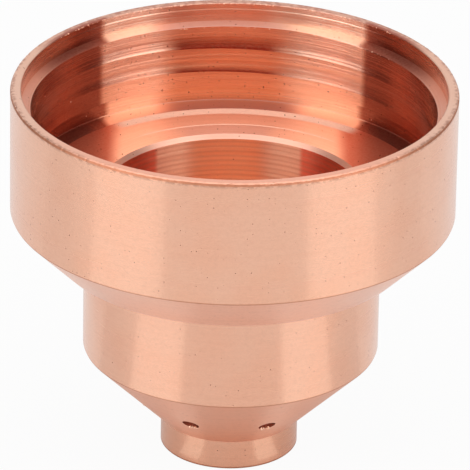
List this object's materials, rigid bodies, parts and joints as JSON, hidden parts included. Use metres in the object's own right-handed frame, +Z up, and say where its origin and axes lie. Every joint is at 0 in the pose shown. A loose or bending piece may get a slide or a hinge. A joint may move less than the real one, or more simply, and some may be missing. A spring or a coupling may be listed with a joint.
{
  "type": "plasma torch shield cap",
  "caption": "Turned copper shield cap for a plasma cutting torch: a threaded cup mouth that steps down through two cones to a vented nose with a gas orifice.",
  "frame": {"origin": "centre of the nose's end face, on which the cap stands", "axes": "+Z up the turning axis, out of the mouth; the front, -Y, lies midway between two vents"},
  "size_m": [0.038, 0.038, 0.0332],
  "materials": {
    "copper": "bare turned copper, satin to bright"
  },
  "bodies": {
    "root": {"shield_cap": "copper"}
  },
  "joints": []
}
